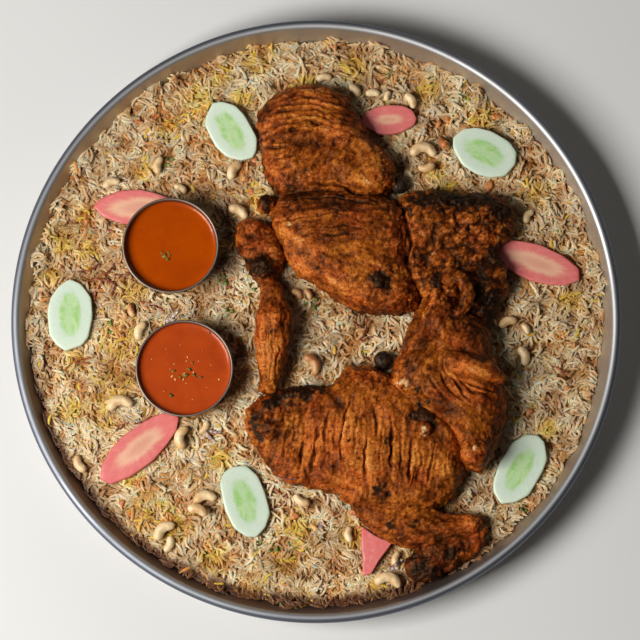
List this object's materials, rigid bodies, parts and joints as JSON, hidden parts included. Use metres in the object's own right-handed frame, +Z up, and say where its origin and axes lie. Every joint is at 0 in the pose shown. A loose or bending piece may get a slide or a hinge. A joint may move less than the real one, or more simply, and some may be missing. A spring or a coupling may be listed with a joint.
{
  "type": "platter of mandi rice with grilled chickens",
  "caption": "Round steel sharing platter filled with spiced rice, with flattened grilled chickens, cups of sauce, cucumber and carrot slices and cashews on top.",
  "frame": {"origin": "middle of the platter's flat underside, on the surface that it stands on", "axes": "+Z up; seen from above as in the picture, +X is to the right and +Y is away from the viewer, so the sauce cups are on the -X side and the chickens on the +X side"},
  "size_m": [0.6, 0.6, 0.0844],
  "materials": {
    "steel": "polished stainless steel with fine wear",
    "rice": "cooked spiced basmati rice, cream with saffron yellow and orange grains",
    "chicken": "grilled marinated chicken, orange brown with dark char",
    "soup": "smooth orange curry sauce, wet",
    "salsa": "red tomato sauce with seeds and herbs, wet",
    "cucumber": "peeled cucumber, pale mint with a greener middle",
    "carrot": "peeled pink carrot with a cream core",
    "cashew": "roasted cashew, cream to light brown",
    "dried_lime": "black dried lime, wrinkled, with a slight sheen"
  },
  "bodies": {
    "root": {"platter": "steel", "rice_bed": "rice", "chicken_1": "chicken", "chicken_2": "chicken", "cup_1": "steel", "cup_2": "steel", "soup_1": "soup", "salsa_2": "salsa", "dried_lime_1": "dried_lime", "dried_lime_2": "dried_lime", "cucumber_1": "cucumber", "cucumber_2": "cucumber", "cucumber_3": "cucumber", "cucumber_4": "cucumber", "cucumber_5": "cucumber", "carrot_1": "carrot", "carrot_2": "carrot", "carrot_3": "carrot", "carrot_4": "carrot", "carrot_5": "carrot", "cashew_01": "cashew", "cashew_02": "cashew", "cashew_03": "cashew", "cashew_04": "cashew", "cashew_05": "cashew", "cashew_06": "cashew", "cashew_07": "cashew", "cashew_08": "cashew", "cashew_09": "cashew", "cashew_10": "cashew", "cashew_11": "cashew", "cashew_12": "cashew", "cashew_13": "cashew", "cashew_14": "cashew", "cashew_15": "cashew", "cashew_16": "cashew", "cashew_17": "cashew", "cashew_18": "cashew", "cashew_19": "cashew", "cashew_20": "cashew", "cashew_21": "cashew", "cashew_22": "cashew", "cashew_23": "cashew", "cashew_24": "cashew", "cashew_25": "cashew", "cashew_26": "cashew", "cashew_27": "cashew", "cashew_28": "cashew", "cashew_29": "cashew", "cashew_30": "cashew", "cashew_31": "cashew", "cashew_32": "cashew", "cashew_33": "cashew", "cashew_34": "cashew"}
  },
  "joints": []
}
